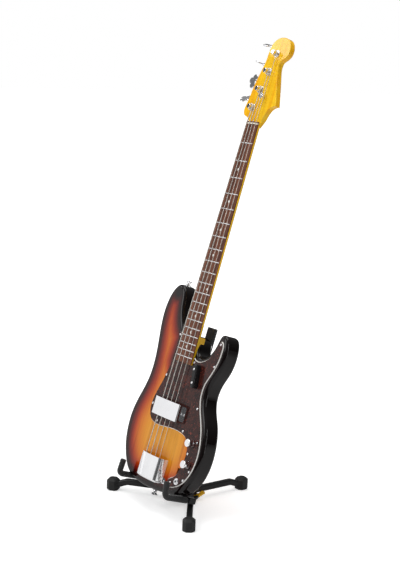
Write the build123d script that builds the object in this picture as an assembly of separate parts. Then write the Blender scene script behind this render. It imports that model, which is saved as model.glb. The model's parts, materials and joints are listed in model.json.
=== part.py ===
"""A four-string electric bass guitar resting on a small folding tripod stand.

Every physical piece is a solid in its own node. Millimetres, +Z up, the floor is z = 0 and the
origin is under the middle of the whole object's box. The guitar faces -Y and leans back.

Guitar and upright are drawn in the leaning frame: x across to the treble side, y up the neck from
the nut, z out of the fingerboard. Distances named "below" are measured from the nut to the butt.
"""

from build123d import *
import math
import os

# ---------------------------------------------------------------- driving dimensions
# leaning frame
LEAN = 17.9
NUT_HEIGHT = 938.5
NUT_BACK = 175.7
HUB_Y = -79.4
GUITAR_SHIFT = 0.5

# scale, neck and fingerboard
SCALE = 863.6
FRETS = 20
NUT_WIDTH = 44.45
BOARD_END = 606.5
BOARD_END_WIDTH = 63.2
BOARD_BACK = 7.0
BOARD_THICK = 4.8
BOARD_RADIUS = 184.0
FRET_HEIGHT = 1.15
FRET_WIDTH = 2.5
FRET_INSET = 0.5
TANG_WIDTH = 0.6
TANG_DEPTH = 1.5
DOT_RADIUS = 3.2
DOT_DEPTH = 1.6
HEEL_START = 536.0
HEEL_END = 607.0
HEEL_DEPTH = 25.4
NECK_DEPTH_NUT = 21.0
NECK_DEPTH_HEEL = 24.0
ROD_RADIUS = 3.0
ROD_Z = -11.0

# headstock
HEAD_FACE = -8.0
HEAD_BACK = -23.0

# body
BODY_FACE = -9.5
BODY_BACK = -54.0
BODY_ROUND = 9.0
BUTT = 925.0
GUARD_THICK = 2.2
GUARD_BEVEL = 1.6
GUARD_TOP = BODY_FACE + GUARD_THICK
CAVITY_DEPTH = 32.0

# strings, bass to treble
STRING_NAMES = ("e", "a", "d", "g")
STRING_RADII = (1.32, 1.08, 0.85, 0.62)
NUT_SPACING = 11.3
SADDLE_SPACING = 19.0
STRING_Z_NUT = 1.0
STRING_Z_SADDLE = 6.6
STRING_Z_POST = -0.5
WOUND_TURNS = 3

# tuners, bass to treble
POST_RADIUS = 6.0
POST_TOP = 8.0
POST_BELOW = (-43.0, -89.0, -135.5, -182.0)
POST_ACROSS = (-23.5, -12.5, -1.5, 9.5)
TUNER_TILT = -13.1
KEY_REACH = 68.0
KEY_ANGLES = (130.0, 0.0, 90.0, 105.0)
GEAR_RADIUS = 8.0
GEAR_TEETH = 20
WORM_RADIUS = 3.5
WORM_Y = GEAR_RADIUS + WORM_RADIUS + 0.2
WORM_Z = -28.4
KEY_SHAFT = 2.5
RUNNING = 0.06

# bridge, covers and controls
BRIDGE_TOP = BODY_FACE + 1.8
COVER_THICK = 1.2
PICKUP_BELOW = 726.0
PICKUP_COVER = (102.0, 43.0)
BRIDGE_COVER = (78.0, 60.0)
BRIDGE_COVER_BELOW = 873.0
KNOB_PLACES = ((117.0, 781.0), (123.0, 832.0))
KNOB_RADIUS = 9.7
KNOB_HEIGHT = 16.5
JACK_PLACE = (98.0, 880.0)
REST_PLACE = (65.0, 628.0)
REST_TURN = 10.0
REST_SIZE = (14.0, 58.0, 15.0)

# stand
LEG_PIVOTS = {"left": (-24.0, 13.0), "right": (24.0, 13.0), "rear": (0.0, 30.0)}
LEG_TURNS = {"left": 217.5, "right": -37.5, "rear": 90.0}
LEG_REACH = {"left": 178.0, "right": 178.0, "rear": 161.0}
FOOT_SIZE = (31.0, 31.0, 31.0)
LEG_WIDE = 15.0
LEG_TALL = 16.0
LEG_Z = 25.0
LEG_WALL = 1.5
LEG_BEND = 38.0
LEG_END_Z = 12.5
LEG_PIN_RADIUS = 4.0
HUB_RADIUS = 34.0
HUB_CENTRE = 12.0
HUB_PLATE = 5.6
YOKE_ACROSS = 100.0
YOKE_BELOW = 920.5
YOKE_FRONT = 15.0
YOKE_HEIGHT = 33.0
YOKE_BEND = 11.0
YOKE_TUBE = 5.0
YOKE_FOAM = 7.6
YOKE_TILTS = {"left": 4.0, "right": 11.0}
CROSSBAR_Z = -65.0
CROSSBAR_RADIUS = 7.5
COLUMN_Z = -70.0
COLUMN_SIZE = (30.0, 14.0)
COLUMN_TOP = 745.0
COLUMN_PIN = 900.0
BAR_SIZE = (22.0, 4.8)
BAR_TOP = 512.0
PAD_SIZE = (31.0, 11.6)
PAD_Z = -64.0
BAR_Z = -67.0
LEVER_PIN = (22.0, 5.8)
LEVER_ACROSS = 14.0
PAD_TOP = 507.0
PAD_BOTTOM = 640.0

# ---------------------------------------------------------------- frames and helpers
RISE = math.radians(LEAN)
LEAN_FRAME = Plane(
    origin=(0, HUB_Y + NUT_BACK, NUT_HEIGHT),
    x_dir=(1, 0, 0),
    z_dir=(0, -math.cos(RISE), math.sin(RISE)),
)
GUITAR_FRAME = Plane(
    origin=(GUITAR_SHIFT, HUB_Y + NUT_BACK, NUT_HEIGHT),
    x_dir=(1, 0, 0),
    z_dir=(0, -math.cos(RISE), math.sin(RISE)),
)
HUB = Pos(0, HUB_Y, 0)
parts = {}


def save(name, shape, frame=None):
    """Keeps a node's solids, moved from its drawing frame into the world."""
    shapes = shape if isinstance(shape, (list, tuple)) else [shape]
    solids = [solid for item in shapes for solid in item.solids()]
    if isinstance(frame, Plane):
        solids = [frame.location * solid for solid in solids]
    elif frame is not None:
        solids = [frame * solid for solid in solids]
    parts[name] = solids


def at(across, below, out=0.0):
    """A place in the leaning frame."""
    return Pos(across, -below, out)


def place(across, below, out=0.0):
    return Vector(across, -below, out)


def rod(start, end, radius):
    """A round bar between two points."""
    start = Vector(*start)
    end = Vector(*end)
    run = end - start
    return Solid.make_cylinder(radius, run.length, Plane(origin=start, z_dir=run))


def post(across, below, low, high, radius):
    """A round bar square to the fingerboard."""
    return rod((across, -below, low), (across, -below, high), radius)


def block(across, below, low, high):
    """A box from three ranges in the leaning frame."""
    size = (across[1] - across[0], below[1] - below[0], high - low)
    middle = at((across[0] + across[1]) / 2, (below[0] + below[1]) / 2, (low + high) / 2)
    return middle * Box(*size)


def outline(points):
    return [(across, -below) for across, below in points]


def slab(face, low, high):
    """A flat plate from a drawn face."""
    return Pos(0, 0, low) * extrude(face, high - low, dir=(0, 0, 1))


def board_width(below):
    return NUT_WIDTH + (BOARD_END_WIDTH - NUT_WIDTH) * below / BOARD_END


def fret_place(number):
    return SCALE * (1 - 2 ** (-number / 12))


def tapered(start, end, margin, low, high):
    """A plate with the fingerboard's taper."""
    w0 = board_width(start) / 2 + margin
    w1 = board_width(end) / 2 + margin
    corners = outline([(-w0, start), (w0, start), (w1, end), (-w1, end)])
    return slab(make_face(Polyline(*corners, close=True)), low, high)


def string_at(index, below):
    """Middle of a string between nut and saddle."""
    step = index - 1.5
    share = below / SCALE
    across = step * (NUT_SPACING + (SADDLE_SPACING - NUT_SPACING) * share)
    low = STRING_Z_NUT + STRING_RADII[index]
    return Vector(across, -below, low + (STRING_Z_SADDLE - low) * share)


def wood_screw(across, below, top, head=3.6, shank=1.5, length=14.0):
    """An oval-head screw whose head sits on a surface."""
    head_part = at(across, below, top) * Cylinder(head, 1.3, align=(Align.CENTER, Align.CENTER, Align.MIN))
    head_part = fillet(head_part.edges().sort_by(Axis.Z)[-1], 0.9)
    slot = block((across - head, across + head), (below - 0.4, below + 0.4), top + 0.7, top + 2)
    cross = block((across - 0.4, across + 0.4), (below - head, below + head), top + 0.7, top + 2)
    slot_limit = post(across, below, top, top + 2, head * 0.55)
    return (head_part - ((slot + cross) & slot_limit)) + post(across, below, top - length, top, shank)


# ---------------------------------------------------------------- outlines
BODY_POINTS = [
    (-34, 537), (-60, 507), (-73, 470), (-81, 440), (-95, 426), (-112, 425), (-130, 441),
    (-143, 474), (-146, 510), (-137, 570), (-128, 630), (-131, 675), (-146, 722), (-158, 765),
    (-159, 802), (-149, 848), (-130, 883), (-104, 909.4), (-70, 921), (0, BUTT), (62, 919.5),
    (96, 912.6), (124, 893), (146, 862), (158, 815), (155, 770), (139, 725), (118, 690),
    (111, 658), (118, 628), (131, 600), (138, 567), (135, 535), (122, 515), (107, 514),
    (98, 530), (84, 563), (68, 577), (52, 580.5),
    (39, 573), (33, 556), (23, 541), (0, 535),
]
GUARD_POINTS = [
    (34, 588), (46, 592.5), (61, 591), (75, 585), (88, 575), (98, 560), (107, 540),
    (115, 529), (123, 534), (126.5, 550), (125, 572), (119, 594), (109, 617), (99, 640),
    (96.5, 660), (101, 683), (113, 708), (130, 738), (142, 770), (147, 802), (144, 833),
    (133, 861), (114, 884), (90, 897), (70, 898), (62, 888), (71, 878), (84, 870),
    (93, 855), (101, 832), (103, 812), (97, 790), (82, 775), (60, 769), (5, 769.5),
    (-48, 772), (-68, 765), (-80, 748), (-82.5, 726), (-75, 695), (-63, 662), (-55, 630),
    (-51, 595), (-51.5, 560), (-52, 546), (-45, 537), (-36, 542), (-20, 562), (8, 578),
]
HEAD_BASS = [
    (-22.2, 4), (-25.5, -9), (-36, -18), (-49, -23), (-55, -33), (-52, -54), (-45.5, -88),
    (-34, -132), (-25, -165), (-23, -188), (-17.5, -206), (-2, -220), (19, -223.5),
    (42, -216), (53, -199), (53, -183), (43, -170.5), (30, -161), (28, -150), (34, -127),
    (46, -93), (60, -51),
]
HEAD_TREBLE = [(60, -51), (47, -48), (37, -41), (29, -28), (23.5, -12), (22.2, 4)]
GUARD_SCREWS = [
    (-46, 544), (-55, 650), (-76, 728), (-40, 764), (69, 763), (98, 700), (132, 775),
    (110, 808), (133, 846), (120, 871), (76, 888), (115, 592), (116, 537), (38, 598),
]


# ---------------------------------------------------------------- neck, board and frets
def neck_section(below, depth):
    """D-shaped cross-section under the fingerboard."""
    half = board_width(below) / 2
    plane = Plane(origin=(0, -below, 0), x_dir=(1, 0, 0), z_dir=(0, -1, 0))
    shoulder = -BOARD_THICK - 3.5
    top = Polyline((-half, shoulder), (-half, -BOARD_THICK), (half, -BOARD_THICK), (half, shoulder))
    back = ThreePointArc((half, shoulder), (0, -depth), (-half, shoulder))
    return plane * make_face(top + back)


def head_carving(side, end, reach):
    """What is carved off a lower corner of the headstock so that it runs into the round neck."""
    near = Plane(origin=(0, -4.5, 0), x_dir=(1, 0, 0), z_dir=(0, -1, 0))
    far = Plane(origin=(0, -end, 0), x_dir=(1, 0, 0), z_dir=(0, -1, 0))
    low = HEAD_BACK - 2
    start_corners = [(side * 23.5, -11), (side * 8, low), (side * 23.5, low)]
    end_corners = [(side * (reach + 1), HEAD_BACK + 0.2), (side * reach, low), (side * (reach + 1), low)]
    faces = [
        plane * make_face(Polyline(*[(x, z) for x, z in corners], close=True))
        for plane, corners in ((near, start_corners), (far, end_corners))
    ]
    return loft(faces, ruled=True)


def build_neck():
    """Maple neck with its heel and headstock in one piece."""
    shaft = loft([neck_section(-6, NECK_DEPTH_NUT), neck_section(HEEL_START + 8, NECK_DEPTH_HEEL)])
    heel = tapered(HEEL_START, HEEL_END, 0.3, -HEEL_DEPTH, -BOARD_THICK)
    heel = fillet(heel.edges().filter_by(Axis.X).sort_by(Axis.Z)[0:2], 1.5)
    edge = Spline(*outline(HEAD_BASS)) + Spline(*outline(HEAD_TREBLE))
    edge += Line((22.2, -4), (-22.2, -4))
    head = slab(make_face(edge), HEAD_BACK, HEAD_FACE)
    head = fillet(head.edges().group_by(Axis.Z)[-1].filter_by(GeomType.BSPLINE), 1.2)
    head = fillet(head.edges().group_by(Axis.Z)[0].filter_by(GeomType.BSPLINE), 1.2)
    head = head - [head_carving(1, -30, 31), head_carving(-1, -15, 33)]
    step_corners = [(-22, -BOARD_BACK), (22, -BOARD_BACK), (22.2, 3), (-22.2, 3)]
    step = slab(
        make_face(Polyline(*outline(step_corners), close=True)),
        HEAD_FACE - 2,
        -BOARD_THICK,
    )
    neck = shaft + heel + head + step
    bore = rod((0, 2, ROD_Z), (0, -HEEL_END - 1, ROD_Z), ROD_RADIUS)
    return neck - bore


def build_board():
    """Rosewood board with its cylindrical top, still without slots."""
    flat = tapered(-BOARD_BACK, BOARD_END, 0, -BOARD_THICK, 1)
    crown = Pos(0, 0, -BOARD_RADIUS) * Rot(90, 0, 0) * Cylinder(BOARD_RADIUS, 2 * BOARD_END + 60)
    return flat & crown


def bent_over_board(section, number):
    """Bends a fret's cross-section over the board's radius, at its place."""
    below = fret_place(number)
    half = board_width(below) / 2 - FRET_INSET
    sweep_angle = 2 * math.degrees(math.asin(half / BOARD_RADIUS))
    axis = Axis((0, 0, -BOARD_RADIUS), (0, 1, 0))
    bent = revolve(Plane.YZ * section, axis, sweep_angle)
    turn = Pos(0, 0, -BOARD_RADIUS) * Rot(0, -sweep_angle / 2, 0) * Pos(0, 0, BOARD_RADIUS)
    return at(0, below) * (turn * bent)


def build_fret(number):
    """One fret: half-round crown and tang."""
    side = FRET_WIDTH / 2
    crown = ThreePointArc((-side, 0), (0, FRET_HEIGHT), (side, 0))
    tang = Polyline(
        (side, 0), (TANG_WIDTH / 2, 0), (TANG_WIDTH / 2, -TANG_DEPTH),
        (-TANG_WIDTH / 2, -TANG_DEPTH), (-TANG_WIDTH / 2, 0), (-side, 0),
    )
    return bent_over_board(make_face(crown + tang), number)


def fret_slot(number):
    """What a fret's tang takes out of the board."""
    section = Pos(0, (1 - TANG_DEPTH) / 2) * Rectangle(TANG_WIDTH, 1 + TANG_DEPTH)
    return bent_over_board(section, number)


def dot_places():
    """Across and below of each inlay dot."""
    singles = [3, 5, 7, 9, 15, 17, 19]
    middles = [(0, (fret_place(n) + fret_place(n - 1)) / 2) for n in singles]
    twelfth = (fret_place(12) + fret_place(11)) / 2
    return middles + [(-14, twelfth), (14, twelfth)]


def build_nut():
    """Nut blank with its crowned top."""
    blank = block((-NUT_WIDTH / 2, NUT_WIDTH / 2), (-3.2, 0), -3.2, 2.1)
    crown = Pos(0, 0, -BOARD_RADIUS) * Rot(90, 0, 0) * Cylinder(BOARD_RADIUS + 2.0, 40)
    return blank & crown


# ---------------------------------------------------------------- strings
def build_string(index):
    """Speaking length, both ends and the turns around the post."""
    radius = STRING_RADII[index]
    saddle = string_at(index, SCALE)
    nut = string_at(index, -1.6)
    anchor = Vector(saddle.X, -893.0, BRIDGE_TOP + 5.0)
    wrap = POST_RADIUS + 0.4 + radius
    leave = Vector(POST_ACROSS[index] + wrap, -POST_BELOW[index], STRING_Z_POST)
    whole = rod(anchor, saddle, radius) + rod(saddle, nut, radius) + rod(nut, leave, radius)
    whole += [Pos(*point) * Sphere(radius + 0.25) for point in (saddle, nut)]
    whole += Pos(*anchor) * Sphere(radius + 1.1)
    for turn in range(WOUND_TURNS):
        drop = STRING_Z_POST - turn * 1.5 * radius
        whole += at(POST_ACROSS[index], POST_BELOW[index], drop) * Torus(wrap, radius)
    return whole


# ---------------------------------------------------------------- tuners
def tuner_place(index):
    return at(POST_ACROSS[index], POST_BELOW[index]) * Rot(0, 0, TUNER_TILT)


def build_tuner_plate(index):
    """Backplate with the two ears that carry the worm."""
    plate = Pos(-1, 3, HEAD_BACK - 0.75) * Box(34, 38, 1.5)
    plate = fillet(plate.edges().filter_by(Axis.Z), 4)
    ears = []
    for side in (-9.5, 9.5):
        ear = Pos(side, WORM_Y, (WORM_Z - 4 + HEAD_BACK - 1) / 2) * Box(4, 8, HEAD_BACK - 1 - WORM_Z + 4)
        ears.append(fillet(ear.edges().filter_by(Axis.X).sort_by(Axis.Z)[0:2], 2.5))
    plate = plate + ears[0] + ears[1]
    plate -= rod((-16, WORM_Y, WORM_Z), (16, WORM_Y, WORM_Z), KEY_SHAFT + RUNNING)
    plate -= rod((0, 0, HEAD_BACK - 3), (0, 0, HEAD_BACK + 1), POST_RADIUS + RUNNING)
    return tuner_place(index) * plate


def tuner_screw_spots(index):
    spots = [(-14.5, -12.5), (12.5, -12.5), (-14.5, 18.5), (12.5, 18.5)]
    return [tuner_place(index) * Pos(x, y, HEAD_BACK - 1.5) for x, y in spots]


def build_tuner_screw(spot):
    head = Cylinder(2.6, 1.2, align=(Align.CENTER, Align.CENTER, Align.MAX))
    head = fillet(head.edges().sort_by(Axis.Z)[0], 0.8)
    return spot * (head + rod((0, 0, 0), (0, 0, 9), 1.2))


def build_post(index):
    """String post with its slotted top and the worm gear under the backplate."""
    shaft = rod((0, 0, HEAD_BACK - 8.5), (0, 0, POST_TOP), POST_RADIUS)
    shaft = chamfer(shaft.edges().sort_by(Axis.Z)[-1], 0.8)
    slot = Pos(0, 0, POST_TOP - 2.5) * Box(2.8, 20, 6)
    wheel = rod((0, 0, WORM_Z - 2.2), (0, 0, WORM_Z + 2.2), GEAR_RADIUS)
    tooth_gap = 360 / GEAR_TEETH
    notch = Pos(GEAR_RADIUS, 0, WORM_Z) * Cylinder(0.75, 6)
    notches = [Rot(0, 0, tooth_gap * (i + 0.5)) * notch for i in range(GEAR_TEETH)]
    wheel = wheel - notches
    return tuner_place(index) * ((shaft - slot) + wheel)


def build_key(index):
    """Worm, shaft and cloverleaf key."""
    shaft = rod((12.5, 0, 0), (-KEY_REACH + 14, 0, 0), KEY_SHAFT)
    worm = rod((6.5, 0, 0), (-6.5, 0, 0), WORM_RADIUS)
    for turn in range(6):
        x = -5 + turn * 2
        groove = rod((x, 0, 0), (x + 0.9, 0, 0), WORM_RADIUS + 1)
        groove = groove - rod((x, 0, 0), (x + 0.9, 0, 0), WORM_RADIUS - 0.6)
        worm = worm - groove
    collar = rod((-KEY_REACH + 20, 0, 0), (-KEY_REACH + 10, 0, 0), 3.6)
    lobes = [Pos(-KEY_REACH + 1, side * 10) * Circle(8.3) for side in (-1, 1)]
    lobes.append(Pos(-KEY_REACH - 8, 0) * Circle(7.6))
    leaf = lobes[0] + lobes[1] + lobes[2] + Pos(-KEY_REACH + 3, 0) * Circle(8)
    leaf = Pos(0, 0, -1.5) * extrude(leaf, 3)
    leaf = chamfer(leaf.edges().group_by(Axis.Z)[-1], 0.7)
    leaf = chamfer(leaf.edges().group_by(Axis.Z)[0], 0.7)
    key = shaft + worm + collar + Rot(KEY_ANGLES[index], 0, 0) * leaf
    return tuner_place(index) * Pos(0, WORM_Y, WORM_Z) * key


def build_bushing(index):
    """Flanged ferrule on the headstock face."""
    flange = post(POST_ACROSS[index], POST_BELOW[index], HEAD_FACE, HEAD_FACE + 1.6, 9.4)
    flange = fillet(flange.edges().sort_by(Axis.Z)[-1], 1.0)
    sleeve = post(POST_ACROSS[index], POST_BELOW[index], HEAD_FACE - 8, HEAD_FACE, 8.2)
    bore = post(POST_ACROSS[index], POST_BELOW[index], HEAD_FACE - 9, HEAD_FACE + 3, POST_RADIUS + RUNNING)
    return flange + sleeve - bore


# ---------------------------------------------------------------- body and pickguard
def body_face():
    return make_face(Spline(*outline(BODY_POINTS), periodic=True))


def build_body():
    """Solid body with rounded edges, neck pocket and cavities."""
    wood = slab(body_face(), BODY_BACK, BODY_FACE)
    wood = fillet(wood.edges().group_by(Axis.Z)[-1], BODY_ROUND)
    wood = fillet(wood.edges().group_by(Axis.Z)[0], BODY_ROUND)
    pocket = tapered(HEEL_START - 40, HEEL_END + 0.2, 0.4, -HEEL_DEPTH, BODY_FACE + 5)
    pickup_room = block((-52, 52), (PICKUP_BELOW - 24, PICKUP_BELOW + 24), BODY_FACE - 20, BODY_FACE + 5)
    floor = BODY_FACE - CAVITY_DEPTH
    control_room = block((104, 137), (764, 846), floor, BODY_FACE + 5)
    jack_sides = (JACK_PLACE[0] - 11, JACK_PLACE[0] + 11)
    jack_room = block(jack_sides, (848, 891), floor, BODY_FACE + 5)
    return wood - [pocket, pickup_room, control_room, jack_room]


def build_guard():
    """Laminated pickguard with its bevelled edge, holes and pickup opening."""
    sheet = slab(make_face(Spline(*outline(GUARD_POINTS), periodic=True)), BODY_FACE, GUARD_TOP)
    sheet = chamfer(sheet.edges().group_by(Axis.Z)[-1], GUARD_BEVEL)
    cuts = [coil_block(side, 0.4, GUARD_TOP + 2) for side in (-1, 1)]
    cuts += [post(x, s, BODY_FACE - 1, GUARD_TOP + 1, 4.9) for x, s in KNOB_PLACES]
    cuts.append(post(*JACK_PLACE, BODY_FACE - 1, GUARD_TOP + 1, 4.8))
    cuts.append(tapered(HEEL_START - 40, HEEL_END + 0.4, 1.2, BODY_FACE - 1, GUARD_TOP + 1))
    return sheet - cuts


# ---------------------------------------------------------------- pickup, bridge, covers
def coil_block(side, margin, top):
    """Outline of one half of the split pickup."""
    middle = -side * 24.0
    below = PICKUP_BELOW + side * -9.5
    half = 23.5 + margin
    depth = 9.0 + margin
    return block((middle - half, middle + half), (below - depth, below + depth), BODY_FACE - 16, top)


def build_coils():
    """Two staggered pickup halves with pole pieces."""
    halves = []
    for side in (-1, 1):
        half = coil_block(side, 0, GUARD_TOP + 3.5)
        half = fillet(half.edges().filter_by(Axis.Z), 2)
        halves.append(fillet(half.edges().group_by(Axis.Z)[-1], 0.8))
    return halves


def build_bridge_plate():
    """Bent steel plate with a rear wall for the ball ends and saddle screws."""
    base = block((-41, 41), (853, 898), BODY_FACE, BRIDGE_TOP)
    wall = block((-38, 38), (896, 898), BRIDGE_TOP, BRIDGE_TOP + 12)
    return fillet((base + wall).edges().filter_by(Axis.Z).sort_by(Axis.Y)[-2:], 3)


def build_saddle(index):
    """One threaded barrel saddle."""
    top = string_at(index, SCALE)
    middle = top - Vector(0, 0, STRING_RADII[index] + 4.0)
    return rod(middle - Vector(9, 0, 0), middle + Vector(9, 0, 0), 4.2)


def build_saddle_screws(index):
    """Two height screws and one length screw for a saddle."""
    top = string_at(index, SCALE)
    middle = top - Vector(0, 0, STRING_RADII[index] + 4.0)
    height = [
        rod((middle.X + dx, middle.Y, BRIDGE_TOP), (middle.X + dx, middle.Y, middle.Z + 5.2), 1.5)
        for dx in (-6.5, 6.5)
    ]
    length = rod((middle.X + 3.6, middle.Y, middle.Z), (middle.X + 3.6, -900.5, middle.Z), 1.4)
    head = rod((middle.X + 3.6, -898, middle.Z), (middle.X + 3.6, -900.5, middle.Z), 2.6)
    return height + [length + head]


def arch(width, rise, low, high, start, end):
    """A bar along the neck whose top is a shallow arch across it."""
    plane = Plane(origin=(0, -start, 0), x_dir=(1, 0, 0), z_dir=(0, -1, 0))
    half = width / 2
    edge = Polyline((-half, high), (-half, low), (half, low), (half, high))
    edge += ThreePointArc((half, high), (0, high + rise), (-half, high))
    return plane * extrude(make_face(edge), end - start)


def build_pickup_cover():
    """Chrome arch over the pickup with an ear at each side."""
    width, length = PICKUP_COVER
    start = PICKUP_BELOW - length / 2
    end = PICKUP_BELOW + length / 2
    outer = arch(width, 3.5, GUARD_TOP, 9.0, start, end)
    outer = fillet(outer.edges().filter_by(Axis.Y).sort_by(Axis.Z)[-2:], 2.5)
    inner = arch(width - 2 * COVER_THICK, 3.5, GUARD_TOP - 1, 9.0 - COVER_THICK, start - 1, end + 1)
    shell = outer - inner
    ears = []
    for side in (-1, 1):
        low, high = sorted((side * (width / 2 - 0.6), side * (width / 2 + 10)))
        ear = block((low, high), (start + 3, end - 3), GUARD_TOP, GUARD_TOP + COVER_THICK)
        outer_edges = ear.edges().filter_by(Axis.Z).sort_by(lambda edge: -side * edge.center().X)
        ears.append(fillet(outer_edges[:2], 6))
    return shell + ears[0] + ears[1]


def build_bridge_cover():
    """Chrome box over the bridge, open towards the neck."""
    width, length = BRIDGE_COVER
    start = BRIDGE_COVER_BELOW - length / 2
    end = BRIDGE_COVER_BELOW + length / 2
    plane = Plane(origin=(0, -start, 0), x_dir=(1, 0, 0), z_dir=(0, -1, 0))
    half_top = width / 2
    half_low = width / 2 + 4.5

    def profile(inset, drop):
        low = BODY_FACE - drop
        high = 9.3 - drop
        edge = Polyline(
            (-half_top + inset, high), (-half_low + inset, low),
            (half_low - inset, low), (half_top - inset, high),
        )
        edge += ThreePointArc((half_top - inset, high), (0, high + 4.2), (-half_top + inset, high))
        return plane * make_face(edge)

    outer = extrude(profile(0, 0), length)
    outer = fillet(outer.edges().filter_by(Axis.Y).sort_by(Axis.Z)[-2:], 3)
    rear = outer.faces().sort_by(Axis.Y)[0].edges().filter_by(lambda edge: edge.center().Z > 8)
    outer = fillet(rear, 5)
    inner = Pos(0, 1, 0) * extrude(profile(COVER_THICK, COVER_THICK), length - COVER_THICK)
    shell = outer - inner
    tabs = []
    for side in (-1, 1):
        low, high = sorted((side * (half_low - 1), side * (half_low + 12)))
        tab = block((low, high), (end - 17, end - 3), BODY_FACE, BODY_FACE + COVER_THICK)
        outer_edges = tab.edges().filter_by(Axis.Z).sort_by(lambda edge: -side * edge.center().X)
        tabs.append(fillet(outer_edges[:2], 5.5))
    return shell + tabs[0] + tabs[1]


def cover_screw_spots():
    """Ears of the pickup cover, then tabs of the bridge cover."""
    ear = PICKUP_COVER[0] / 2 + 5.2
    tab = BRIDGE_COVER[0] / 2 + 4.5 + 6.5
    tab_below = BRIDGE_COVER_BELOW + BRIDGE_COVER[1] / 2 - 10
    ears = [(side * ear, PICKUP_BELOW, GUARD_TOP + COVER_THICK) for side in (-1, 1)]
    tabs = [(side * tab, tab_below, BODY_FACE + COVER_THICK) for side in (-1, 1)]
    return ears + tabs


# ---------------------------------------------------------------- controls
def build_knob(across, below):
    """Flat-topped barrel knob with a knurled side, plus the pot shaft it is pressed on."""
    foot = GUARD_TOP + 1.2
    knob = post(across, below, foot, foot + KNOB_HEIGHT, KNOB_RADIUS)
    knob = fillet(knob.edges().sort_by(Axis.Z)[-1], 1.6)
    groove = Pos(KNOB_RADIUS, 0, 0) * Cylinder(0.35, KNOB_HEIGHT - 7)
    middle = at(across, below, foot + KNOB_HEIGHT / 2 - 0.5)
    grooves = [middle * Rot(0, 0, 360 / 40 * i) * groove for i in range(40)]
    knob = knob - grooves
    knob -= post(across, below, foot - 1, foot + 3.5, 6.6)
    knob -= post(across, below, foot, foot + 12, 3.0)
    shaft = post(across, below, GUARD_TOP - 3, foot + 12, 3.0)
    return [knob, shaft]


def build_pot(across, below):
    """Potentiometer case with threaded bush and nut."""
    case = post(across, below, BODY_FACE - 13, BODY_FACE - 2.5, 12)
    bush = post(across, below, BODY_FACE - 2.5, GUARD_TOP + 3.6, 4.7)
    nut_plane = Plane(origin=(across, -below, GUARD_TOP))
    nut = nut_plane * extrude(RegularPolygon(6.2, 6), 2.2)
    nut -= post(across, below, GUARD_TOP - 1, GUARD_TOP + 4, 4.7)
    bore = post(across, below, GUARD_TOP - 3.1, GUARD_TOP + 5, 3.0 + RUNNING)
    return case + bush + nut - bore


def build_jack():
    """Output jack: bush, nut, washer and spring housing."""
    x, s = JACK_PLACE
    washer = post(x, s, GUARD_TOP, GUARD_TOP + 0.8, 8.0)
    nut = Plane(origin=(x, -s, GUARD_TOP + 0.8)) * extrude(RegularPolygon(7.2, 6), 2.0)
    nut = nut + post(x, s, GUARD_TOP + 0.8, GUARD_TOP + 3.4, 5.4)
    sleeve = post(x, s, BODY_FACE - 22, GUARD_TOP + 3.4, 4.7)
    frame = block((x - 8, x + 8), (s - 8, s + 8), BODY_FACE - 4, BODY_FACE - 1)
    bore = post(x, s, BODY_FACE - 21, GUARD_TOP + 5, 3.2)
    return washer + nut + sleeve + frame - bore


def build_finger_rest():
    """Moulded finger rest, rounded all round its top."""
    width, length, height = REST_SIZE
    bar = Pos(0, 0, height / 2) * Box(width, length, height)
    bar = fillet(bar.edges().filter_by(Axis.Z), width / 2 - 0.2)
    bar = fillet(bar.edges().group_by(Axis.Z)[-1], 3.0)
    return at(*REST_PLACE, GUARD_TOP) * Rot(0, 0, REST_TURN) * bar


def rest_screw_spots():
    turn = math.radians(REST_TURN)
    top = GUARD_TOP + REST_SIZE[2]
    spots = []
    for run in (-16.5, 16.5):
        spots.append((REST_PLACE[0] + run * math.sin(turn), REST_PLACE[1] + run * math.cos(turn), top))
    return spots


def build_strap_button(start, direction):
    """Mushroom-shaped strap button with its screw."""
    plane = Plane(origin=start, z_dir=direction)
    corners = [(0, 0), (7.5, 0), (7.5, 2), (4.2, 5), (4.2, 9), (8, 12), (8, 14), (0, 14)]
    profile = Polyline(*corners, close=True)
    button = revolve(Plane.XZ * make_face(profile), Axis.Z)
    button -= Pos(0, 0, 11.5) * Cylinder(4.0, 6, align=(Align.CENTER, Align.CENTER, Align.MIN))
    screw = Cylinder(3.9, 1.6, align=(Align.CENTER, Align.CENTER, Align.MIN))
    screw = Pos(0, 0, 11.5) * screw
    shank = Pos(0, 0, -22) * Cylinder(2.0, 33.5, align=(Align.CENTER, Align.CENTER, Align.MIN))
    button -= Pos(0, 0, -1) * Cylinder(2.0, 13, align=(Align.CENTER, Align.CENTER, Align.MIN))
    return [plane.location * button, plane.location * (screw + shank)]


def build_neck_plate():
    plate = block((-25.5, 25.5), (546, 602), BODY_BACK - 1.8, BODY_BACK)
    return fillet(plate.edges().filter_by(Axis.Z), 4)


def neck_screw_spots():
    return [(x, s) for x in (-19, 19) for s in (553, 595)]


def build_neck_screw(across, below):
    head = post(across, below, BODY_BACK - 3.6, BODY_BACK - 1.8, 4.6)
    head = fillet(head.edges().sort_by(Axis.Z)[0], 1.2)
    return head + post(across, below, BODY_BACK - 1.8, -9.0, 2.3)


def build_string_tree():
    """Round retainer that holds two strings down behind the nut."""
    x, s = 8.6, -72
    disc = post(x, s, 2.2, 4.0, 7.0)
    disc = fillet(disc.edges().sort_by(Axis.Z)[-1], 0.8)
    stem = post(x, s, HEAD_FACE, 2.2, 1.9)
    bore = post(x, s, HEAD_FACE - 1, 4.5, 1.4)
    screw = post(x, s, HEAD_FACE - 10, 4.0, 1.4)
    screw_head = post(x, s, 4.0, 5.2, 3.0)
    screw_head = fillet(screw_head.edges().sort_by(Axis.Z)[-1], 0.8)
    return [disc + stem - bore, screw + screw_head]


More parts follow.
